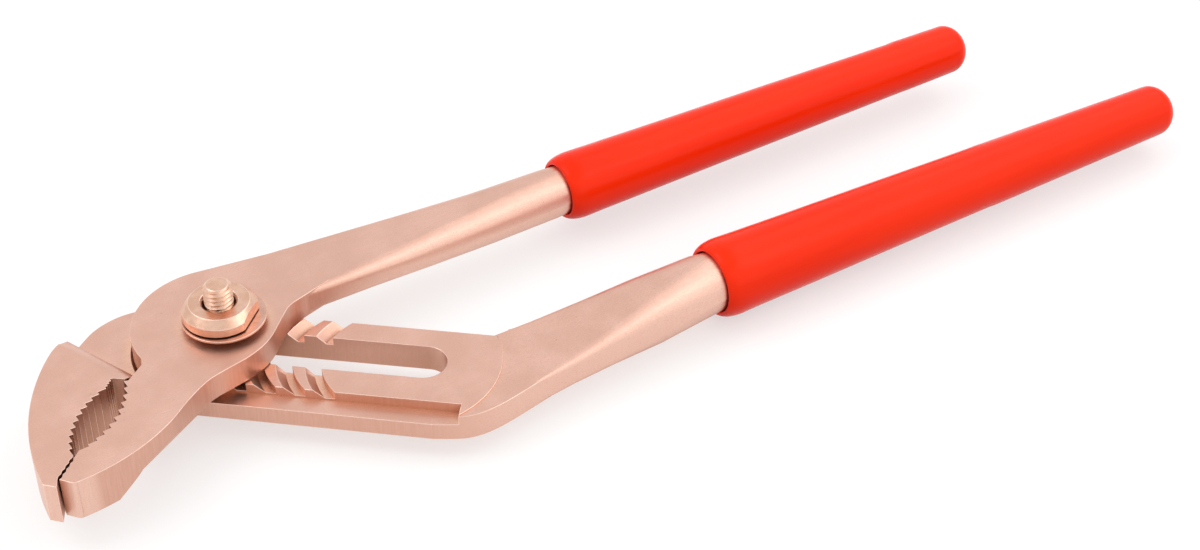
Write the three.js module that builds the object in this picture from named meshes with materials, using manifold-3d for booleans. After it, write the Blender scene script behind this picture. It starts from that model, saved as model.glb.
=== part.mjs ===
// Adjustable groove-joint pliers in copper-beryllium with dipped vinyl grips.
// Millimetres, +Z up. The pivot axis is the Z axis, the jaws point to -X and the handles to +X.
// The tool lies nut side up, with the end of its bolt head on the plane z = 0.

import * as THREE from 'three';
import { mergeVertices } from 'three/addons/utils/BufferGeometryUtils.js';
import Module from 'manifold-3d';

const wasm = await Module();
wasm.setup();

// Clearances
const SEAT = 0.3;
const SLIDE = 0.3;
const JAW_GAP = 0.3;

// Thicknesses of the stack on the pivot, from the bolt head up
const HEAD_HEIGHT = 3.6;
const WASHER_THICK = 0.9;
const LOWER_THICK = 6;
const UPPER_THICK = 5.5;
const JAW_THICK = 9;
const SHOULDER_PROUD = 1;
const NUT_WASHER_THICK = 0.5;
const NUT_BAND = 1.8;
const NUT_CONE = 1.5;
const STUD_PROUD = 4.1;

// Heights that follow from the stack
const HEAD_WASHER_Z = HEAD_HEIGHT + SEAT;
const LOWER_Z = HEAD_WASHER_Z + WASHER_THICK + SEAT;
const PLATEAU_Z = LOWER_Z + LOWER_THICK;
const UPPER_Z = PLATEAU_Z + SEAT;
const TOP_Z = UPPER_Z + UPPER_THICK;
const JAW_Z = TOP_Z - JAW_THICK;
const SHOULDER_Z = TOP_Z + SHOULDER_PROUD;
const NUT_WASHER_Z = SHOULDER_Z + SEAT;
const NUT_Z = NUT_WASHER_Z + NUT_WASHER_THICK + SEAT;
const NUT_TOP_Z = NUT_Z + NUT_BAND + NUT_CONE;
const STUD_Z = NUT_TOP_Z + STUD_PROUD;

// Pivot bolt, nut and washers
const SHOULDER_DIA = 8.8;
const THREAD_DIA = 6;
const THREAD_PITCH = 1;
const THREAD_DEPTH = 0.55;
const STUD_END_DIA = 4.4;
const STUD_CHAMFER = 0.9;
const HEAD_FLATS = 14;
const NUT_DIA = 15.2;
const NUT_TOP_DIA = 12.2;
const NUT_FLATS = 13.4;
const NUT_TURN = -50;
const NUT_SINK_DIA = 7.6;
const WASHER_DIA = 17;
const WASHER_SHIFT = 0.6;
const WASHER_SHIFT_TURN = -35;

// Slip joint: slot, stops, tongue and grooves
const SLOT_ANGLE = -42.6;
const SLOT_WIDTH = SHOULDER_DIA + 2 * SLIDE;
const SLOT_LENGTH = 40.3;
const STOPS = 7;
const STOP_PITCH = 5.9;
const TRAVEL = (STOPS - 1) * STOP_PITCH;
const RAIL_FAR = 9.9;
const RAIL_NEAR = -15;
const BEND_NEAR = -15.4;
const PLATEAU_NEAR = -11.2;
const GROOVE_RADIUS = 15.3;
const GROOVE_FLOOR = 1.4;
const GROOVE_DEPTH = 1.8;
const TONGUE_FROM = -8;
const TONGUE_TO = 50;
const RABBET_DEPTH = 2.2;
const RABBET_FROM = -14;
const RABBET_TO = 50;
const SWING_RADIUS = 20.5;
const NECK_STEP = 0.25;

// Boss and jaws
const BOSS_RADIUS = 17.5;
const TONGUE_RADIUS = 17.2;
const RAMP_RUN = 5.2;
const CREST_RUN = 2.8;
const CREST_DROP = 1.6;
const RELIEF_FROM = 13;
const RELIEF_RUN = 12;
const UNDER_RUN = 4.7;
const WAIST_RISE = 1.75;
const JAW_TEETH = 10;
const FINE_TEETH = 4;
const FINE_TOOTH_DEPTH = 0.45;
const NOSE_TOOTH_DEPTH = 0.22;

// Handle bars and grips: each bar tapers from where its grip starts to its end
const GRIP_WALL = 1.8;
const GRIP_LIP = 4.5;
const GRIP_LIP_ROUND = 1.4;
const GRIP_END_WALL = 3;
const UPPER_GRIP = { x: 83.2, y: 4.65, z: TOP_Z - 5.5, turn: -2.95, length: 111.3, start: 14.9, end: 11.4 };
const LOWER_GRIP = { x: 92.4, y: -37.95, z: TOP_Z - 7.3, turn: -3.46, length: 125.6, start: 16.9, end: 11.7 };

const rad = THREE.MathUtils.degToRad;
const point = (x, y) => new THREE.Vector2(x, y);

// Places along the slot (toward the handles) and across it (away from the camera) as plan points
function atSlot(along, across) {
	return point(along, across).rotateAround(point(0, 0), rad(SLOT_ANGLE));
}

// A closed geometry as a solid, turned inside out if its faces point inward
function solid(geometry) {
	geometry.deleteAttribute('normal');
	geometry.deleteAttribute('uv');
	const merged = mergeVertices(geometry, 1e-4);
	const vertProperties = new Float32Array(merged.attributes.position.array);
	const index = merged.index.array;
	const faces = [];
	let volume = 0;
	const corner = [new THREE.Vector3(), new THREE.Vector3(), new THREE.Vector3()];
	for (let i = 0; i < index.length; i += 3) {
		const face = [index[i], index[i + 1], index[i + 2]];
		if (new Set(face).size < 3) continue;
		faces.push(face);
		face.forEach((vertex, k) => corner[k].fromArray(vertProperties, 3 * vertex));
		volume += corner[0].dot(corner[1].clone().cross(corner[2]));
	}
	const triVerts = new Uint32Array(faces.flatMap((face) => (volume > 0 ? face : face.reverse())));
	return new wasm.Manifold(new wasm.Mesh({ numProp: 3, vertProperties, triVerts }));
}

function prism(shape, bottom, top, curveSegments = 10) {
	const geometry = new THREE.ExtrudeGeometry(shape, { depth: top - bottom, bevelEnabled: false, curveSegments });
	return solid(geometry.translate(0, 0, bottom));
}

// A profile of [radius, height] pairs turned about the Z axis
function revolve(profile, segments = 48) {
	const geometry = new THREE.LatheGeometry(profile.map(([r, z]) => point(r, z)), segments);
	return solid(geometry.rotateX(Math.PI / 2));
}

function disc(radius, bottom, top, segments = 96) {
	return revolve([[0, bottom], [radius, bottom], [radius, top], [0, top]], segments);
}

// A skin over convex rings of equal length, with flat ends
function loft(rings) {
	const count = rings[0].length;
	const index = [];
	for (let i = 0; i + 1 < rings.length; i++) {
		for (let k = 0; k < count; k++) {
			const a = i * count + k;
			const b = i * count + (k + 1) % count;
			index.push(a, b, b + count, a, b + count, a + count);
		}
	}
	const last = (rings.length - 1) * count;
	for (let k = 1; k + 1 < count; k++) {
		index.push(0, k + 1, k);
		index.push(last, last + k, last + k + 1);
	}
	const geometry = new THREE.BufferGeometry().setFromPoints(rings.flat());
	return solid(geometry.setIndex(index));
}

// A ring in the plane of one x: a rectangle with rounded corners, or a circle when round is half its size
function section({ x, near, far, bottom, top, round }) {
	const ring = [];
	const corners = [[far, top, -1, -1, 0], [near, top, 1, -1, 90], [near, bottom, 1, 1, 180], [far, bottom, -1, 1, 270]];
	for (const [y, z, inY, inZ, from] of corners) {
		for (let step = 0; step <= 6; step++) {
			const turn = rad(from + 15 * step);
			const ringY = y + inY * round + round * Math.cos(turn);
			const ringZ = z + inZ * round + round * Math.sin(turn);
			ring.push(new THREE.Vector3(x, ringY, ringZ));
		}
	}
	return ring;
}

// The round bar inside a grip at a distance along it, with the bore's clearance taken off
function barSection(grip, along) {
	const outer = THREE.MathUtils.lerp(grip.start, grip.end, along / grip.length);
	const radius = outer / 2 - GRIP_WALL - SEAT;
	const y = grip.y + along * Math.sin(rad(grip.turn));
	const x = grip.x + along * Math.cos(rad(grip.turn));
	const box = { near: y - radius, far: y + radius, bottom: grip.z - radius, top: grip.z + radius };
	return { x, ...box, round: radius - 0.02 };
}

// Plan outlines

function line(shape, ...points) {
	points.forEach((p) => shape.lineTo(p.x, p.y));
}

function arc(shape, centre, radius, from, to, clockwise = false) {
	shape.absarc(centre.x, centre.y, radius, rad(from), rad(to), clockwise);
}

// Tooth tips on a circle from the throat to the nose, with a square root between each two
function jawTeeth(centre, radius, from, to, rootBetween) {
	const tips = [];
	for (let i = 0; i <= JAW_TEETH; i++) {
		const turn = rad(THREE.MathUtils.lerp(from, to, i / JAW_TEETH));
		tips.push(point(radius, 0).rotateAround(point(0, 0), turn).add(centre));
	}
	return tips.flatMap((tip, i) => (i ? [rootBetween(tips[i - 1], tip), tip] : [tip]));
}

// Fine serrations along a straight line, cut to its left where the depth is positive
function fineTeeth(from, to, depth) {
	const step = to.clone().sub(from).divideScalar(FINE_TEETH);
	const inward = point(-step.y, step.x).normalize().multiplyScalar(depth);
	const points = [from];
	for (let i = 0; i < FINE_TEETH; i++) {
		points.push(from.clone().addScaledVector(step, i + 0.5).add(inward));
		points.push(from.clone().addScaledVector(step, i + 1));
	}
	return points;
}

// The straight nose where the jaws meet, moved off the mating line by half the gap
function noseTeeth(side) {
	const from = point(-40.4, -19.6);
	const to = point(-45, -23.4);
	const off = to.clone().sub(from).normalize().rotateAround(point(0, 0), rad(90 * side)).multiplyScalar(JAW_GAP / 2);
	return fineTeeth(from.add(off), to.add(off), side * NOSE_TOOTH_DEPTH);
}

const BOSS_CENTRE = point(-0.5, 0);
const UPPER_NEAR_EDGE = [
	point(-14.9, -16.8), point(-9.9, -14.3), point(-4.9, -13.3), point(0.2, -12.4),
	point(5.2, -10.2), point(10.2, -5.9), point(13.4, -3.3), point(17, -2.2), point(24, -0.5),
];

// Upper lever seen from above, from the nose along its near edge to the neck and back over the boss
function upperOutline() {
	const shape = new THREE.Shape();
	const teeth = jawTeeth(point(-43.5, 2.4), 21.3, -21, -77, (a, b) => point(a.x, b.y));
	shape.moveTo(-43.4, -25.5);
	shape.quadraticCurveTo(-43, -26, -42.4, -26);
	arc(shape, point(-41, 14.5), 40.5, 268, 301);
	shape.splineThru(UPPER_NEAR_EDGE);
	line(shape, point(24, 12.9));
	arc(shape, BOSS_CENTRE, BOSS_RADIUS, 82, 184);
	line(shape, point(-18.7, -2.9), point(-22.75, -5.6), ...teeth, ...noseTeeth(1));
	return shape;
}

// Back of the lower jaw, from where the rails meet it to where its arc begins
const JAW_HEEL = point(-24.3, 15.7);
const JAW_BACK = point(-29, 12.1);
const JAW_ARC = { centre: point(4.9, -27.9), radius: 53, from: 141, to: 174.8 };

// Jaw of the lower lever with the ground that its ramp covers, from the throat round the back to the nose
function lowerJawOutline() {
	const shape = new THREE.Shape();
	const arcStart = point(JAW_ARC.radius, 0).rotateAround(point(0, 0), rad(JAW_ARC.from)).add(JAW_ARC.centre);
	const teeth = jawTeeth(point(-20, -25.1), 21, 110, 163, (a, b) => point(b.x, a.y));
	const throat = fineTeeth(point(-24.9, -3.4), teeth[0], -FINE_TOOTH_DEPTH);
	shape.moveTo(-23.1, -5);
	line(shape, point(-19.6, -2.7), JAW_HEEL, JAW_BACK);
	shape.quadraticCurveTo(-31.6, 11.2, arcStart.x, arcStart.y);
	arc(shape, JAW_ARC.centre, JAW_ARC.radius, JAW_ARC.from, JAW_ARC.to);
	line(shape, point(-46.1, -25.1), ...noseTeeth(-1).reverse(), ...teeth.reverse(), ...throat.reverse());
	return shape;
}

// Rails and bend of the lower lever, to where the neck takes over
function railOutline() {
	const shape = new THREE.Shape();
	const corner = atSlot(56, RAIL_FAR);
	const cornerEnd = atSlot(56.1, 7);
	shape.moveTo(-26, 2);
	line(shape, JAW_BACK, JAW_HEEL);
	shape.splineThru([point(-19.8, 18.5), point(-15, 19.7), point(-10.4, 19.4), point(-4.6, 17.6), atSlot(-8, RAIL_FAR)]);
	line(shape, atSlot(52.3, RAIL_FAR));
	shape.quadraticCurveTo(corner.x, corner.y, cornerEnd.x, cornerEnd.y);
	line(shape, point(49, -28.1), point(54, -30), point(54, -43.4));
	shape.splineThru([point(45, -45), point(35, -46.3), point(28.6, -45.5), atSlot(45, BEND_NEAR)]);
	line(shape, atSlot(-9.4, RAIL_NEAR), point(-22.9, -4.9));
	return shape;
}

function slotOutline() {
	const shape = new THREE.Shape();
	const half = SLOT_WIDTH / 2;
	arc(shape, point(0, 0), half, SLOT_ANGLE + 90, SLOT_ANGLE + 270);
	arc(shape, atSlot(SLOT_LENGTH, 0), half, SLOT_ANGLE - 90, SLOT_ANGLE + 90);
	return shape;
}

function boxOutline(from, to, near, far) {
	return new THREE.Shape([atSlot(from, near), atSlot(to, near), atSlot(to, far), atSlot(from, far)]);
}

// A wedge from the plane through a plan line: its side profile is swept along the line
function ramp(start, end, profile, reach = 80) {
	const shape = new THREE.Shape(profile.map(([out, z]) => point(out, z)));
	const geometry = new THREE.ExtrudeGeometry(shape, { depth: 2 * reach, bevelEnabled: false });
	geometry.translate(0, 0, -reach).rotateX(Math.PI / 2);
	const middle = start.clone().add(end).multiplyScalar(0.5);
	const turn = end.clone().sub(start).angle() - Math.PI / 2;
	return solid(geometry.rotateZ(turn).translate(middle.x, middle.y, 0));
}

// Sawtooth ring on the jaw side of one bolt place: upright toward the bolt, sloped toward the jaws
function grooveRing(clear, top) {
	const inner = GROOVE_RADIUS + clear;
	const floor = PLATEAU_Z - GROOVE_DEPTH + clear;
	const floorEnd = GROOVE_RADIUS + GROOVE_FLOOR - clear;
	const rise = top - floor;
	return revolve([[inner, top], [inner, floor], [floorEnd, floor], [floorEnd + rise, top], [inner, top]], 96);
}

// Sub-parts

const LOWER_NECK = [
	{ x: 44, near: -45, far: -27.8, bottom: LOWER_Z, top: PLATEAU_Z - NECK_STEP, round: 0.5 },
	{ x: 54, near: -44.8, far: -28.7, bottom: LOWER_Z, top: PLATEAU_Z + 0.7, round: 1.6 },
	{ x: 64, near: -44.9, far: -30, bottom: LOWER_Z - 0.4, top: PLATEAU_Z + 2.5, round: 2.9 },
	{ x: 76, near: -44.9, far: -30.8, bottom: LOWER_Z - 1.6, top: PLATEAU_Z + 4.3, round: 4.8 },
	{ x: 90, near: -44.4, far: -31.2, bottom: LOWER_GRIP.z - 6.6, top: LOWER_GRIP.z + 6.6, round: 6.55 },
];

const UPPER_NECK = [
	{ x: 14, near: -1.8, far: 15, bottom: UPPER_Z, top: TOP_Z, round: 0.5 },
	{ x: 22, near: -1.8, far: 14.5, bottom: UPPER_Z, top: TOP_Z, round: 1.4 },
	{ x: 34, near: -2, far: 13.5, bottom: UPPER_Z - 0.8, top: TOP_Z, round: 2.3 },
	{ x: 48, near: -1.8, far: 12.4, bottom: UPPER_Z - 2.6, top: TOP_Z, round: 3.7 },
	{ x: 64, near: -1.2, far: 11.2, bottom: UPPER_Z - 4.5, top: TOP_Z, round: 4.9 },
	{ x: 80.5, near: -0.8, far: 10.3, bottom: UPPER_GRIP.z - 5.5, top: UPPER_GRIP.z + 5.5, round: 5.45 },
];

function handle(neck, grip) {
	const barEnd = grip.length - GRIP_END_WALL - SEAT;
	const bar = [0, 0.35 * barEnd, 0.7 * barEnd, barEnd].map((along) => barSection(grip, along));
	return loft([...neck, ...bar].map(section));
}

function upperLever() {
	const outline = upperOutline();
	const under = ramp(point(-20.5, -7), point(-29.2, -24.3), [
		[0, UPPER_Z], [UNDER_RUN, JAW_Z], [60, JAW_Z], [60, TOP_Z], [0, TOP_Z],
	]);
	const waist = ramp(point(-30.2, -24.6), point(-11.5, -15), [
		[0, UPPER_Z], [2, UPPER_Z + 2 * WAIST_RISE], [2, JAW_Z - 1], [-0.1, JAW_Z - 1], [-0.1, UPPER_Z - 0.1],
	], point(-30.2, -24.6).distanceTo(point(-11.5, -15)) / 2);
	const tongueWedge = new THREE.Shape([
		point(0, 0), ...[TONGUE_FROM, (TONGUE_FROM + TONGUE_TO) / 2, TONGUE_TO].map((turn) =>
			point(30, 0).rotateAround(point(0, 0), rad(180 + SLOT_ANGLE + turn))),
	]);
	const tongue = grooveRing(SLIDE, UPPER_Z + 1)
		.intersect(prism(tongueWedge, 0, TOP_Z))
		.intersect(disc(TONGUE_RADIUS, 0, TOP_Z));
	const bore = SHOULDER_DIA / 2 + SLIDE;
	const boss = disc(BOSS_RADIUS + SEAT, 0, UPPER_Z).translate(BOSS_CENTRE.x, BOSS_CENTRE.y, 0);
	const jaw = prism(outline, JAW_Z, TOP_Z).intersect(under).subtract(boss);
	return prism(outline, UPPER_Z, TOP_Z)
		.add(jaw)
		.subtract(waist)
		.add(handle(UPPER_NECK, UPPER_GRIP))
		.add(tongue)
		.subtract(disc(bore, 0, TOP_Z + 1, 40));
}

function lowerLever() {
	const jaw = lowerJawOutline();
	const over = ramp(point(-23, -5.15), point(-29.3, 11.9), [
		[0, TOP_Z], [CREST_RUN, TOP_Z - CREST_DROP], [RAMP_RUN, PLATEAU_Z],
		[RAMP_RUN, LOWER_Z], [-60, LOWER_Z], [-60, TOP_Z],
	]);
	const relief = ramp(point(-23, -5.15), point(-29.3, 11.9), [
		[-RELIEF_FROM, LOWER_Z], [-RELIEF_FROM - RELIEF_RUN, JAW_Z], [-60, JAW_Z], [-60, LOWER_Z - 1],
		[-RELIEF_FROM, LOWER_Z - 1],
	]);
	const lastStop = atSlot(TRAVEL, 0);
	const swing = disc(SWING_RADIUS, 0, TOP_Z).translate(lastStop.x, lastStop.y, 0);
	const beyond = prism(boxOutline(TRAVEL, 90, -40, 40), PLATEAU_Z - NECK_STEP, TOP_Z).subtract(swing);
	const rabbet = prism(boxOutline(RABBET_FROM, RABBET_TO, -40, PLATEAU_NEAR), PLATEAU_Z - RABBET_DEPTH, TOP_Z);
	let rails = prism(railOutline(), LOWER_Z, PLATEAU_Z).subtract(beyond);
	const sector = prism(boxOutline(-20, -8.5, -14, 14), 0, TOP_Z);
	const groove = grooveRing(0, PLATEAU_Z + 0.5).intersect(sector);
	for (let stop = 0; stop < STOPS; stop++) {
		const place = atSlot(stop * STOP_PITCH, 0);
		rails = rails.subtract(groove.translate(place.x, place.y, 0));
	}
	rails = rails.subtract(rabbet);
	return rails
		.add(prism(jaw, LOWER_Z, TOP_Z).intersect(over))
		.subtract(relief)
		.subtract(prism(slotOutline(), 0, TOP_Z, 16))
		.add(handle(LOWER_NECK, LOWER_GRIP));
}

// Hexagon of the given width across its flats, with the corners turned off at the lower rim
function boltHead() {
	const reach = HEAD_FLATS / Math.sqrt(3);
	const corners = [0, 60, 120, 180, 240, 300].map((turn) => point(reach, 0).rotateAround(point(0, 0), rad(turn)));
	const hexagon = new THREE.Shape(corners);
	const rim = HEAD_FLATS / 2;
	const turned = revolve([[0, 0], [rim - 0.4, 0], [reach + 0.1, 1], [reach + 0.1, HEAD_HEIGHT], [0, HEAD_HEIGHT]]);
	return prism(hexagon, 0, HEAD_HEIGHT).intersect(turned);
}

// Threaded end of the bolt: one right-hand helix skinned over rings, ending in a chamfer
function threadedStud() {
	const sides = 24;
	const stepsPerTurn = 6;
	const from = SHOULDER_Z - 0.5;
	const rows = Math.round((STUD_Z - from) * stepsPerTurn / THREAD_PITCH);
	const rings = [];
	for (let row = 0; row <= rows; row++) {
		const z = from + (STUD_Z - from) * row / rows;
		const limit = STUD_END_DIA / 2 + (STUD_Z - z) * (THREAD_DIA - STUD_END_DIA) / 2 / STUD_CHAMFER;
		const ring = [];
		for (let k = 0; k < sides; k++) {
			const phase = z / THREAD_PITCH - k / sides;
			const flank = Math.abs(2 * (phase - Math.floor(phase)) - 1);
			const radius = Math.min(THREAD_DIA / 2 - THREAD_DEPTH * flank, limit);
			const turn = 2 * Math.PI * k / sides;
			ring.push(new THREE.Vector3(radius * Math.cos(turn), radius * Math.sin(turn), z));
		}
		rings.push(ring);
	}
	return loft(rings);
}

function pivotBolt() {
	const shoulder = disc(SHOULDER_DIA / 2, HEAD_HEIGHT - 1, SHOULDER_Z, 40);
	return boltHead().add(shoulder).add(threadedStud());
}

// Round nut with a wide cone, two spanner flats and a countersunk bore
function pivotNut() {
	const bore = THREAD_DIA / 2 + SLIDE;
	const sink = NUT_SINK_DIA / 2;
	const body = revolve([
		[bore, NUT_Z], [NUT_DIA / 2, NUT_Z], [NUT_DIA / 2, NUT_Z + NUT_BAND], [NUT_TOP_DIA / 2, NUT_TOP_Z],
		[sink, NUT_TOP_Z], [bore, NUT_TOP_Z - (sink - bore)], [bore, NUT_Z],
	], 56);
	const half = NUT_FLATS / 2;
	const flats = new THREE.Shape([point(-half, -20), point(half, -20), point(half, 20), point(-half, 20)]);
	return body.intersect(prism(flats, NUT_Z - 1, NUT_TOP_Z + 1).rotate([0, 0, NUT_TURN]));
}

function washer(bottom, top, bore) {
	const rim = WASHER_DIA / 2;
	return revolve([[bore, bottom], [rim, bottom], [rim, top], [bore, top], [bore, bottom]], 56);
}

// Loose on the thread, so it sits to one side
function nutWasher() {
	const shift = point(WASHER_SHIFT, 0).rotateAround(point(0, 0), rad(WASHER_SHIFT_TURN));
	const bore = THREAD_DIA / 2 + SLIDE + WASHER_SHIFT;
	return washer(NUT_WASHER_Z, NUT_WASHER_Z + NUT_WASHER_THICK, bore).translate(shift.x, shift.y, 0);
}

// Dipped sleeve, closed at the far end, with a rolled lip where it starts
function grip({ x, y, z, turn, length, start, end }) {
	const boreStart = start / 2 - GRIP_WALL;
	const boreEnd = end / 2 - GRIP_WALL;
	const floor = length - GRIP_END_WALL;
	const dome = end / 2;
	const profile = [[boreStart, 0]];
	for (let step = 0; step <= 4; step++) {
		const a = rad(22.5 * step);
		profile.push([start / 2 - GRIP_LIP_ROUND * (1 - Math.sin(a)), GRIP_LIP * (1 - Math.cos(a))]);
	}
	for (let step = 0; step <= 6; step++) {
		const a = rad(15 * step);
		profile.push([dome * Math.cos(a), length - dome * 0.8 + dome * 0.8 * Math.sin(a)]);
	}
	profile.push([0, floor], [boreEnd, floor], [boreStart, 0]);
	const geometry = new THREE.LatheGeometry(profile.map(([r, along]) => point(Math.max(r, 0), along)), 40);
	geometry.rotateZ(-Math.PI / 2).rotateZ(rad(turn)).translate(x, y, z);
	return solid(geometry);
}

// Scene graph

const COPPER = { color: 0xd9a48c, roughness: 0.38, metalness: 0.9 };
const COPPER_BRIGHT = { color: 0xe2b397, roughness: 0.28, metalness: 0.95 };
const VINYL = { color: 0xff3208, roughness: 0.3, metalness: 0 };

function part(name, body, look) {
	const mesh = body.getMesh();
	const geometry = new THREE.BufferGeometry();
	geometry.setAttribute('position', new THREE.BufferAttribute(new Float32Array(mesh.vertProperties), 3));
	geometry.setIndex(new THREE.BufferAttribute(new Uint32Array(mesh.triVerts), 1));
	geometry.computeVertexNormals();
	const node = new THREE.Mesh(geometry, new THREE.MeshStandardMaterial(look));
	node.name = name;
	return node;
}

const pliers = new THREE.Group();
pliers.name = 'groove_joint_pliers';
pliers.add(
	part('lower_lever', lowerLever(), COPPER),
	part('lower_grip', grip(LOWER_GRIP), VINYL),
	part('pivot_bolt', pivotBolt(), COPPER_BRIGHT),
	part('head_washer', washer(HEAD_WASHER_Z, HEAD_WASHER_Z + WASHER_THICK, SHOULDER_DIA / 2 + SLIDE), COPPER),
	part('nut_washer', nutWasher(), COPPER),
	part('pivot_nut', pivotNut(), COPPER_BRIGHT),
	part('upper_lever', upperLever(), COPPER),
	part('upper_grip', grip(UPPER_GRIP), VINYL),
);

export default pliers;
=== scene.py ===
import math

import bmesh
import bpy
from mathutils import Matrix, Vector, noise


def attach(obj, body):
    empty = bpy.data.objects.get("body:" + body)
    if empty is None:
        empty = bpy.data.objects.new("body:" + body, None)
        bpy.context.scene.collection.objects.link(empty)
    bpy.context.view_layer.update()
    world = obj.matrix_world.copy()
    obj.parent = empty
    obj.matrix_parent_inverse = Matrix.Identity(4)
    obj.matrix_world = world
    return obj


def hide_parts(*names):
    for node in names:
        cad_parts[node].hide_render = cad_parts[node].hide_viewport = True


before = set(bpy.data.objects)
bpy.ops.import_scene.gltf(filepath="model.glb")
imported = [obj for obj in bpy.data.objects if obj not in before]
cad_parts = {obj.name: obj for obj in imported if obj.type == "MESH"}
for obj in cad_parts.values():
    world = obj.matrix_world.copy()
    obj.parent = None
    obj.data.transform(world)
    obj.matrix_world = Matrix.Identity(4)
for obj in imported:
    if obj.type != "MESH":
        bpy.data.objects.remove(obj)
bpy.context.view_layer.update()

MM = 0.001

# Camera, fitted to the photograph: 1200 x 550 image
CAMERA_PLACE = (-0.1292, -0.3172, 0.2945)
CAMERA_TURN = (51.5, 0.0, -34.76)
CAMERA_LENS = 66.0
CAMERA_SENSOR = 36.0
CAMERA_NEAREST = 0.01

# Linear colours
COPPER = (0.87, 0.565, 0.465, 1.0)
COPPER_DEEP = (0.79, 0.485, 0.385, 1.0)
# walls painted darker as shade; also the colour of the grain specks and of the washers' painted shade
COPPER_SHADE_AND_GRAIN = (0.64, 0.355, 0.265, 1.0)
COPPER_PALE = (0.93, 0.66, 0.55, 1.0)
# painted bounce light, laid on the flats beside copper walls
COPPER_PAINTED_BOUNCE = (1.0, 0.64, 0.46, 1.0)
# brown of the pits and the crust round the stud, and painted shade in hollows, corners and the pivot's
# gaps
COPPER_STAIN_AND_SHADE = (0.36, 0.165, 0.085, 1.0)
BRASSY = (0.89, 0.585, 0.44, 1.0)
BRASSY_DEEP = (0.76, 0.46, 0.32, 1.0)
VINYL = (0.95, 0.029, 0.003, 1.0)
VINYL_DEEP = (0.90, 0.024, 0.002, 1.0)

# Copper: how fine its marks are, per millimetre, and how deep they go
CLOUD = 0.09
GRAIN = 4.5
PITS = 1.7
BRUSH_LINES = (0.35, 5.0, 5.0)
UPRIGHT_LINES = (3.4, 3.4, 0.16)
GRIND_DEPTH = 0.05 * MM
TURNED_RINGS = 5.0
TURNED_CLOUD = 0.35
FINE_GRAIN = 6.0
CRUST = 1.6
EDGE_PATCHES = 0.5
EDGE_PATCH_DEPTH = 0.03 * MM

# Copper: roughness of the satin finish, and the span that its lines add
SATIN = 0.34
SATIN_SPAN = 0.12

# How far corners, hollows and the gaps of the pivot reach in the painted shade, and corners in the
# painted bounce light
CORNER_REACH = 3.2 * MM
HOLLOW_REACH = 16 * MM
GAP_REACH = 1.6 * MM
REACH_SAMPLES = 8

# Places of changing tone in millimetres: along the levers, and round and up the stud
NECK_FROM, NECK_TO = 16, 42
NOSE_FROM, NOSE_TO = -37.5, -40.0
CRUST_OUTER, CRUST_INNER = 4.9, 3.2
CRUST_TOP, CRUST_FULL = 24.6, 23.4

# Vinyl: the runs and peel of the dip, per millimetre, their depth and its weak mirror
DIP_RUNS = (0.02, 0.16, 0.16)
DIP_PEEL = 0.3
DUST = 7.0
DIP_DEPTH = 0.12 * MM
VINYL_SPECULAR = 0.11

# Rounding of the metal's edges, and the angles from which an edge is rounded or creased
EDGE_ROUND = 0.28 * MM
EDGE_ROUND_SMALL = 0.10 * MM
EDGE_STEPS = 2
EDGE_ANGLE = math.radians(43)
CREASE_ANGLE = math.radians(22)
FLAT_ANGLE = math.radians(0.5)
SHORT_EDGE = 2.2 * MM
THIN_FACE = 0.15 * MM
SAME_POINT = 0.002 * MM

# Grips in millimetres, as in the source: start point, turn in plan, length and diameters
GRIP_WALL = 1.8
GRIP_LIP = 4.5
GRIP_LIP_ROUND = 1.4
GRIP_END_WALL = 3.0
GRIP_DOME = 0.8
UPPER_GRIP = {"at": (83.2, 4.65, 11.4), "turn": -2.95, "length": 111.3, "start": 14.9, "end": 11.4}
LOWER_GRIP = {"at": (92.4, -37.95, 9.6), "turn": -3.46, "length": 125.6, "start": 16.9, "end": 11.7}

# Grip mouth: depths of the plain bore, then depth and flare of the rolled edge
MOUTH_BORE = (14.0, 6.0, 2.0, 0.8)
MOUTH_ROLL = ((0.28, 0.02), (0.07, 0.1), (0.0, 0.24))
MOUTH_OUTSIDE = 0.3

# Grip mesh: points round it, along each curve and along the taper
GRIP_SIDES = 112
CURVE_STEPS = 16
TAPER_STEPS = 60

# Slow unevenness of the dip: depth, wavelengths, and where it fades at the mouth and the end
SAG_DEPTH = 0.09
SAG_ALONG = 0.035
SAG_ROUND = 0.7
SAG_FROM = 1.5
SAG_FADE_IN = 6.0
SAG_FADE_OUT = 8.0
UPPER_SEED = 3.0
LOWER_SEED = 11.0

# Stage
FLOOR_REACH = 6.0
FLOOR_DROP = 0.1 * MM
FLOOR_GREY = 0.45
FLOOR_LIFT = 0.55
STUDIO_LEVELS = [(0.0, 0.92), (0.6, 0.98), (0.82, 0.86), (1.0, 0.95)]
STUDIO_STRENGTH = 0.95
LAMP_TARGET = (0.08, -0.01, 0.0)
KEY_LAMP = {"place": (-0.35, 0.25, 0.75), "size": (0.6, 0.5), "power": 1.8}
FRONT_LAMP = {"place": (0.50, -0.72, 0.50), "size": (1.3, 0.9), "power": 1.7}
TOP_LAMP = {"place": (0.60, -0.12, 0.68), "size": (1.1, 0.45), "power": 1.5}


# Materials

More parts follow.
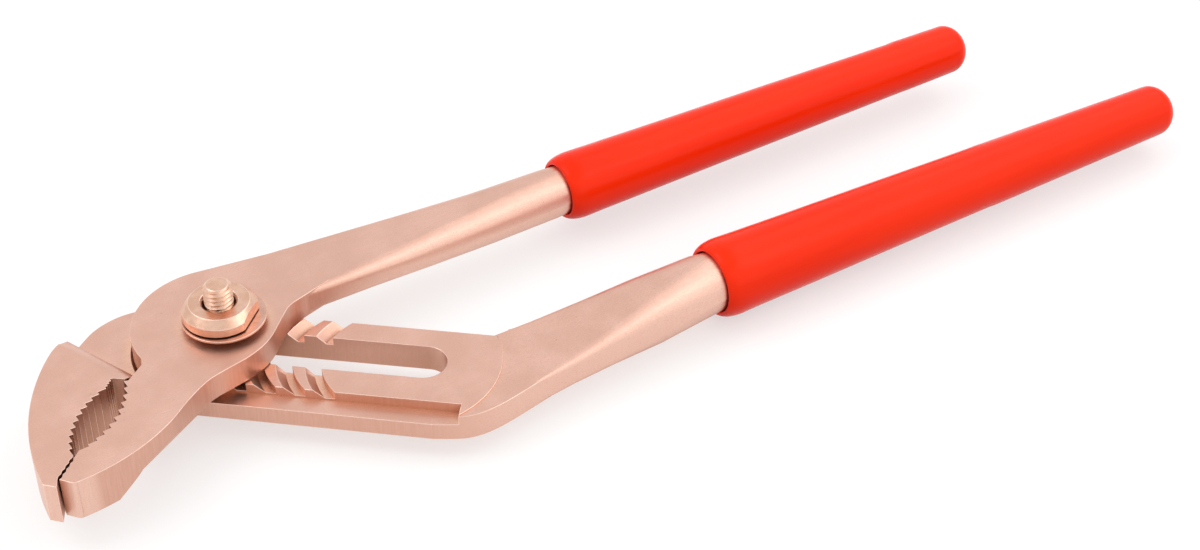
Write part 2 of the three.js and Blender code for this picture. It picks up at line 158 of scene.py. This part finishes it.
class Shader:
    """A material's node tree with short calls for adding and joining nodes."""

    def __init__(self, name):
        self.material = bpy.data.materials.new(name)
        self.material.use_nodes = True
        self.nodes = self.material.node_tree.nodes
        self.links = self.material.node_tree.links
        self.main = self.nodes["Principled BSDF"]

    def put(self, socket, value):
        if isinstance(value, bpy.types.NodeSocket):
            self.links.new(value, socket)
        else:
            socket.default_value = value

    def add(self, kind, sockets=None, **settings):
        node = self.nodes.new("ShaderNode" + kind)
        for key, value in settings.items():
            setattr(node, key, value)
        for key, value in (sockets or {}).items():
            self.put(node.inputs[key], value)
        return node

    def math(self, operation, a, b=0.0):
        return self.add("Math", {0: a, 1: b}, operation=operation).outputs[0]

    def mix(self, factor, a, b):
        node = self.add("Mix", {0: factor, 6: a, 7: b}, data_type="RGBA")
        return node.outputs[2]

    def blend(self, factor, a, b):
        node = self.add("Mix", {0: factor, 2: a, 3: b}, data_type="FLOAT")
        return node.outputs[0]

    def split(self, vector):
        return self.add("SeparateXYZ", {0: vector}).outputs

    def noise(self, vector, scale, detail=3.0, rough=0.55):
        sockets = {"Vector": vector, "Scale": scale, "Detail": detail, "Roughness": rough}
        return self.add("TexNoise", sockets).outputs["Fac"]

    def stretch(self, vector, scale):
        return self.add("Mapping", {"Vector": vector, "Scale": scale}).outputs["Vector"]

    def remap(self, value, low, high, to_low=0.0, to_high=1.0):
        sockets = {0: value, 1: low, 2: high, 3: to_low, 4: to_high}
        return self.add("MapRange", sockets, interpolation_type="SMOOTHSTEP").outputs[0]

    def open_air(self, reach):
        """1 on an open surface, falling toward 0 where others stand within reach."""
        node = self.add("AmbientOcclusion", {"Distance": reach}, samples=REACH_SAMPLES)
        return node.outputs["AO"]

    def bump(self, height, strength, distance):
        sockets = {"Height": height, "Strength": strength, "Distance": distance}
        return self.add("Bump", sockets).outputs["Normal"]

    def finish(self, **sockets):
        for key, value in sockets.items():
            self.put(self.main.inputs[key.replace("_", " ")], value)
        return self.material


def coordinates(shader):
    """Object coordinates in millimetres, and how far a surface faces up or down."""
    place = shader.add("TexCoord").outputs
    millimetres = shader.stretch(place["Object"], (1 / MM, 1 / MM, 1 / MM))
    upward = shader.split(place["Normal"])["Z"]
    flat = shader.remap(shader.math("ABSOLUTE", upward), 0.55, 0.9)
    return millimetres, flat


def copper_ground(name):
    """Satin ground copper: fine grain on the flats, upright grind lines on the walls, painted shade on
    walls, in hollows and corners, and painted bounce light on flats beside walls.
    """
    s = Shader(name)
    at, flat = coordinates(s)
    along = s.split(at)["X"]
    cloud = s.noise(at, CLOUD, 5.0, 0.6)
    grain = s.noise(at, GRAIN, 3.0, 0.7)
    brushed = s.noise(s.stretch(at, BRUSH_LINES), 1.0, 4.0, 0.65)
    upright = s.noise(s.stretch(at, UPRIGHT_LINES), 1.0, 4.0, 0.65)
    lines = s.blend(flat, upright, brushed)
    corner = s.open_air(CORNER_REACH)
    hollow = s.open_air(HOLLOW_REACH)

    # Flats, with painted bounce light where a wall of copper stands beside them, and walls, paler on
    # the necks and the nose
    ground = s.mix(s.remap(cloud, 0.35, 0.68), COPPER_DEEP, COPPER)
    flats = s.mix(s.remap(corner, 0.96, 0.66), ground, COPPER_PAINTED_BOUNCE)
    # Paler neck walls: partly their forged finish, partly a painted highlight, held back in the
    # hollows
    neck_finish_and_highlight = s.math(
        "MULTIPLY",
        s.remap(along, NECK_FROM, NECK_TO, 0.0, 0.55),
        s.remap(hollow, 0.46, 0.66),
    )
    # Walls take the darker copy of the copper as painted shade
    sides = s.mix(neck_finish_and_highlight, COPPER_SHADE_AND_GRAIN, COPPER_PALE)
    walls = s.mix(s.remap(along, NOSE_FROM, NOSE_TO, 0.0, 0.6), sides, COPPER_PALE)
    bare = s.mix(flat, walls, flats)

    # Marks of the grinding
    lined = s.mix(s.remap(lines, 0.3, 0.75, 0.0, 0.55), bare, COPPER_DEEP)
    speckled = s.mix(s.remap(grain, 0.42, 0.7, 0.0, 0.55), lined, COPPER_SHADE_AND_GRAIN)
    pits = s.remap(s.noise(at, PITS, 2.0, 0.5), 0.72, 0.78, 0.0, 0.4)
    pitted = s.mix(pits, speckled, COPPER_STAIN_AND_SHADE)

    # Painted shade: brown in the hollows and in tight corners, broken up by the grain
    deep = s.math("MULTIPLY", s.remap(hollow, 0.62, 0.28), s.remap(flat, 0.0, 1.0, 0.6, 0.0))
    shaded = s.mix(deep, pitted, COPPER_STAIN_AND_SHADE)
    tight = s.math("MULTIPLY", s.remap(corner, 0.46, 0.12), s.remap(flat, 0.0, 1.0, 0.6, 0.05))
    painted_shade = s.math("MULTIPLY", tight, s.remap(grain, 0.15, 0.5))
    colour = s.mix(painted_shade, shaded, COPPER_STAIN_AND_SHADE)

    rough = s.math(
        "ADD",
        s.remap(lines, 0.25, 0.75, SATIN, SATIN + SATIN_SPAN),
        s.remap(cloud, 0.3, 0.7, -0.03, 0.04),
    )
    height = s.math("ADD", s.math("MULTIPLY", lines, 0.6), s.math("MULTIPLY", grain, 0.5))
    return s.finish(
        Base_Color=colour, Metallic=1.0, Roughness=rough,
        Normal=s.bump(height, 0.42, GRIND_DEPTH),
    )


def copper_turned(name, tone, deep):
    """Turned copper with rings round the pivot axis, painted shade in the gaps, and brown crust round
    the stud.
    """
    s = Shader(name)
    at, flat = coordinates(s)
    axes = s.split(at)
    plan = s.add("CombineXYZ", {0: axes["X"], 1: axes["Y"]}).outputs[0]
    radius = s.add("VectorMath", {0: plan}, operation="LENGTH").outputs["Value"]
    travel = s.blend(flat, axes["Z"], radius)
    rings = s.noise(s.add("CombineXYZ", {0: travel}).outputs[0], TURNED_RINGS, 3.0, 0.6)
    cloud = s.noise(at, TURNED_CLOUD, 4.0, 0.6)
    grain = s.noise(at, FINE_GRAIN, 2.0, 0.6)
    gap = s.open_air(GAP_REACH)

    toned = s.mix(s.remap(cloud, 0.35, 0.65), deep, tone)
    ringed = s.mix(s.remap(rings, 0.35, 0.75, 0.0, 0.4), toned, COPPER_DEEP)
    # Painted shade in the gaps between the pivot's parts, broken up by the grain
    painted_shade = s.math("MULTIPLY", s.remap(gap, 0.6, 0.2, 0.0, 0.9), s.remap(grain, 0.3, 0.6))
    with_gap_shade = s.mix(painted_shade, ringed, COPPER_STAIN_AND_SHADE)
    patches = s.remap(s.noise(at, CRUST, 4.0, 0.7), 0.56, 0.66)
    crust = s.math("MULTIPLY", s.remap(radius, CRUST_OUTER, CRUST_INNER), patches)
    low = s.remap(axes["Z"], CRUST_TOP, CRUST_FULL)
    crusted = s.math("MULTIPLY", s.math("MULTIPLY", crust, low), 0.8)
    colour = s.mix(crusted, with_gap_shade, COPPER_STAIN_AND_SHADE)

    height = s.math("ADD", s.math("MULTIPLY", rings, 0.8), s.math("MULTIPLY", grain, 0.3))
    return s.finish(
        Base_Color=colour, Metallic=1.0, Roughness=s.remap(rings, 0.3, 0.7, 0.24, 0.36),
        Normal=s.bump(height, 0.3, GRIND_DEPTH),
    )


def copper_edge(name):
    """Edges paler and glossier than the faces, in patches from a noise pattern."""
    s = Shader(name)
    at, _ = coordinates(s)
    edge_patch = s.remap(s.noise(at, EDGE_PATCHES, 4.0, 0.65), 0.35, 0.6)
    grain = s.noise(at, FINE_GRAIN, 2.0, 0.6)
    return s.finish(
        Base_Color=s.mix(edge_patch, COPPER, COPPER_PALE), Metallic=1.0,
        Roughness=s.remap(edge_patch, 0.0, 1.0, 0.36, 0.24),
        Normal=s.bump(grain, 0.2, EDGE_PATCH_DEPTH),
    )


def vinyl(name):
    """Dipped vinyl: soft gloss with the faint runs and orange peel of the dip."""
    s = Shader(name)
    at, _ = coordinates(s)
    runs = s.noise(s.stretch(at, DIP_RUNS), 1.0, 3.0, 0.5)
    peel = s.noise(at, DIP_PEEL, 2.0, 0.5)
    dust = s.noise(at, DUST, 2.0, 0.6)
    rough = s.math(
        "ADD",
        s.remap(peel, 0.3, 0.7, 0.19, 0.25),
        s.remap(dust, 0.55, 0.8, 0.0, 0.02),
    )
    height = s.math("ADD", s.math("MULTIPLY", peel, 0.6), s.math("MULTIPLY", runs, 1.2))
    return s.finish(
        Base_Color=s.mix(s.remap(runs, 0.35, 0.65), VINYL_DEEP, VINYL), Roughness=rough,
        Normal=s.bump(height, 0.02, DIP_DEPTH), Specular_IOR_Level=VINYL_SPECULAR,
    )


# Metal pieces

def mark_edges(bm):
    """Weights for the outer edges that are rounded, and creases for the other sharp ones."""
    weight = bm.edges.layers.float.new("bevel_weight_edge")
    for edge in bm.edges:
        if len(edge.link_faces) != 2:
            continue
        angle = edge.calc_face_angle(0.0)
        least = min(face.calc_area() for face in edge.link_faces)
        thin = least < THIN_FACE * edge.calc_length()
        if angle < EDGE_ANGLE or not edge.is_convex or thin:
            edge.smooth = angle < CREASE_ANGLE
            continue
        near = [other.calc_length() for vertex in edge.verts for other in vertex.link_edges]
        small = min(near) < SHORT_EDGE
        edge[weight] = EDGE_ROUND_SMALL / EDGE_ROUND if small else 1.0


def link_piece(name, bm, materials):
    """The finished mesh as an object in the scene, smooth all over."""
    for face in bm.faces:
        face.smooth = True
    mesh = bpy.data.meshes.new(name)
    bm.to_mesh(mesh)
    bm.free()
    for material in materials:
        mesh.materials.append(material)
    piece = bpy.data.objects.new(name, mesh)
    bpy.context.collection.objects.link(piece)
    return piece


def dressed(node, body, material, edge_material):
    """The node's solid with its flat faces made whole and its sharp edges rounded over."""
    bm = bmesh.new()
    bm.from_mesh(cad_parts[node].data)
    bmesh.ops.remove_doubles(bm, verts=bm.verts, dist=SAME_POINT)
    bmesh.ops.dissolve_limit(bm, angle_limit=FLAT_ANGLE, verts=bm.verts, edges=bm.edges)
    mark_edges(bm)
    piece = link_piece(node + "_metal", bm, [material, edge_material])
    bevel = piece.modifiers.new("rounded edges", "BEVEL")
    bevel.limit_method = "WEIGHT"
    bevel.width = EDGE_ROUND
    bevel.segments = EDGE_STEPS
    bevel.use_clamp_overlap = False
    bevel.material = 1
    normals = piece.modifiers.new("flat faces", "WEIGHTED_NORMAL")
    normals.keep_sharp = True
    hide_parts(node)
    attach(piece, body)


# Grips

def grip_profile(grip):
    """Pairs of distance along and radius, from the end of the bore out round the mouth to the tip."""
    start = grip["start"] / 2
    end = grip["end"] / 2
    mouth = start - GRIP_WALL
    dome = GRIP_DOME * end
    taper_end = grip["length"] - dome
    quarter = [math.radians(90 * step / CURVE_STEPS) for step in range(CURVE_STEPS + 1)]
    profile = [(grip["length"] - GRIP_END_WALL, end - GRIP_WALL)]
    profile += [(depth, mouth) for depth in MOUTH_BORE]
    profile += [(depth, mouth + flare) for depth, flare in MOUTH_ROLL]
    for a in quarter[1:]:
        profile.append((GRIP_LIP * (1 - math.cos(a)), start - GRIP_LIP_ROUND * (1 - math.sin(a))))
    for step in range(1, TAPER_STEPS):
        t = step / TAPER_STEPS
        profile.append((GRIP_LIP + (taper_end - GRIP_LIP) * t, start + (end - start) * t))
    for a in quarter:
        profile.append((taper_end + dome * math.sin(a), max(end * math.cos(a), 0.0)))
    return profile


def share(value):
    return min(1.0, max(0.0, value))


def dipped_sleeve(name, node, body, grip, material, seed):
    """A dipped sleeve turned about its bar: rolled mouth, open bore, domed end and slow unevenness."""
    turn = Matrix.Rotation(math.radians(grip["turn"]), 4, "Z")
    place = Matrix.Translation(Vector(grip["at"])) @ turn
    outside = grip["start"] / 2 - GRIP_WALL + MOUTH_OUTSIDE
    bm = bmesh.new()
    rings = []
    for along, radius in grip_profile(grip):
        fade = share((along - SAG_FROM) / SAG_FADE_IN) * share((grip["length"] - along) / SAG_FADE_OUT)
        ring = []
        for k in range(GRIP_SIDES):
            a = 2 * math.pi * k / GRIP_SIDES
            across, up = math.cos(a), math.sin(a)
            sample = Vector((along * SAG_ALONG, across * SAG_ROUND, up * SAG_ROUND + seed))
            sag = (noise.noise(sample) - 1.0) * SAG_DEPTH * fade if radius > outside else 0.0
            r = radius + sag
            ring.append(bm.verts.new(place @ Vector((along, r * across, r * up)) * MM))
        rings.append(ring)
    for ring, following in zip(rings, rings[1:]):
        for k in range(GRIP_SIDES):
            n = (k + 1) % GRIP_SIDES
            bm.faces.new((ring[k], following[k], following[n], ring[n]))
    bm.faces.new(rings[0])
    bmesh.ops.remove_doubles(bm, verts=bm.verts, dist=SAME_POINT / 2)
    bmesh.ops.recalc_face_normals(bm, faces=bm.faces)
    piece = link_piece(name, bm, [material])
    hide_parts(node)
    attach(piece, body)


ground = copper_ground("copper_ground")
turned = copper_turned("copper_turned", BRASSY, BRASSY_DEEP)
# Washers: a darker copy of the turned copper, painted shade for where they lie under the nut and the
# bolt head
washer_painted_shade = copper_turned("copper_washer_painted_shade", COPPER_DEEP, COPPER_SHADE_AND_GRAIN)
edge_pale = copper_edge("copper_edge")
vinyl_red = vinyl("vinyl_red")

dressed("lower_lever", "lower", ground, edge_pale)
dressed("upper_lever", "upper", ground, edge_pale)
dressed("pivot_nut", "pivot", turned, edge_pale)
dressed("nut_washer", "pivot", washer_painted_shade, edge_pale)
dressed("head_washer", "pivot", washer_painted_shade, edge_pale)
dressed("pivot_bolt", "pivot", turned, edge_pale)
dipped_sleeve("upper_grip_sleeve", "upper_grip", "upper", UPPER_GRIP, vinyl_red, UPPER_SEED)
dipped_sleeve("lower_grip_sleeve", "lower_grip", "lower", LOWER_GRIP, vinyl_red, LOWER_SEED)


# Floor, world, lamps and camera

def backdrop_share(nodes, links):
    """1 where the camera, a mirror or glass looks at the surface, 0 for the light that it throws."""
    path = nodes.new("ShaderNodeLightPath")
    first = nodes.new("ShaderNodeMath")
    first.operation = "MAXIMUM"
    second = nodes.new("ShaderNodeMath")
    second.operation = "MAXIMUM"
    links.new(path.outputs["Is Camera Ray"], first.inputs[0])
    links.new(path.outputs["Is Glossy Ray"], first.inputs[1])
    links.new(first.outputs[0], second.inputs[0])
    links.new(path.outputs["Is Transmission Ray"], second.inputs[1])
    return second.outputs[0]


def floor_material():
    """Grey paper that takes the shadow, lifted to white where it is looked at."""
    material = bpy.data.materials.new("floor_white")
    material.use_nodes = True
    nodes = material.node_tree.nodes
    links = material.node_tree.links
    nodes.clear()
    paper = nodes.new("ShaderNodeBsdfDiffuse")
    paper.inputs["Color"].default_value = (FLOOR_GREY, FLOOR_GREY, FLOOR_GREY, 1.0)
    glow = nodes.new("ShaderNodeEmission")
    lift = nodes.new("ShaderNodeMath")
    lift.operation = "MULTIPLY"
    lift.inputs[1].default_value = FLOOR_LIFT
    links.new(backdrop_share(nodes, links), lift.inputs[0])
    links.new(lift.outputs[0], glow.inputs["Strength"])
    both = nodes.new("ShaderNodeAddShader")
    links.new(paper.outputs[0], both.inputs[0])
    links.new(glow.outputs[0], both.inputs[1])
    end = nodes.new("ShaderNodeOutputMaterial")
    links.new(both.outputs[0], end.inputs["Surface"])
    return material


def make_floor():
    bm = bmesh.new()
    bmesh.ops.create_grid(bm, x_segments=2, y_segments=2, size=FLOOR_REACH)
    mesh = bpy.data.meshes.new("floor")
    bm.to_mesh(mesh)
    bm.free()
    mesh.materials.append(floor_material())
    floor = bpy.data.objects.new("floor", mesh)
    floor.location = (0.0, 0.0, -FLOOR_DROP)
    bpy.context.collection.objects.link(floor)


def make_world():
    """A pale studio, nearly even all round, with its level set by height."""
    world = bpy.data.worlds.new("studio")
    bpy.context.scene.world = world
    world.use_nodes = True
    nodes = world.node_tree.nodes
    links = world.node_tree.links
    sky = nodes["Background"]
    place = nodes.new("ShaderNodeTexCoord")
    split = nodes.new("ShaderNodeSeparateXYZ")
    links.new(place.outputs["Generated"], split.inputs[0])
    ramp = nodes.new("ShaderNodeValToRGB")
    links.new(split.outputs["Z"], ramp.inputs[0])
    elements = ramp.color_ramp.elements
    while len(elements) < len(STUDIO_LEVELS):
        elements.new(0.5)
    for element, (position, level) in zip(elements, STUDIO_LEVELS):
        element.position = position
        element.color = (level, level, level, 1.0)
    links.new(ramp.outputs["Color"], sky.inputs["Color"])
    sky.inputs["Strength"].default_value = STUDIO_STRENGTH


def softbox(name, place, size, power):
    lamp = bpy.data.lights.new(name, "AREA")
    lamp.shape = "RECTANGLE"
    lamp.size, lamp.size_y = size
    lamp.energy = power
    holder = bpy.data.objects.new(name, lamp)
    holder.location = place
    aim = Vector(LAMP_TARGET) - Vector(place)
    holder.rotation_euler = aim.to_track_quat("-Z", "Y").to_euler()
    bpy.context.collection.objects.link(holder)


def make_camera():
    data = bpy.data.cameras.new("camera")
    data.lens = CAMERA_LENS
    data.sensor_width = CAMERA_SENSOR
    data.clip_start = CAMERA_NEAREST
    camera = bpy.data.objects.new("camera", data)
    camera.location = CAMERA_PLACE
    camera.rotation_euler = [math.radians(turn) for turn in CAMERA_TURN]
    bpy.context.collection.objects.link(camera)
    bpy.context.scene.camera = camera


make_floor()
make_world()
softbox("key", **KEY_LAMP)
softbox("front", **FRONT_LAMP)
softbox("top", **TOP_LAMP)
make_camera()
bpy.context.scene.view_settings.view_transform = "Standard"
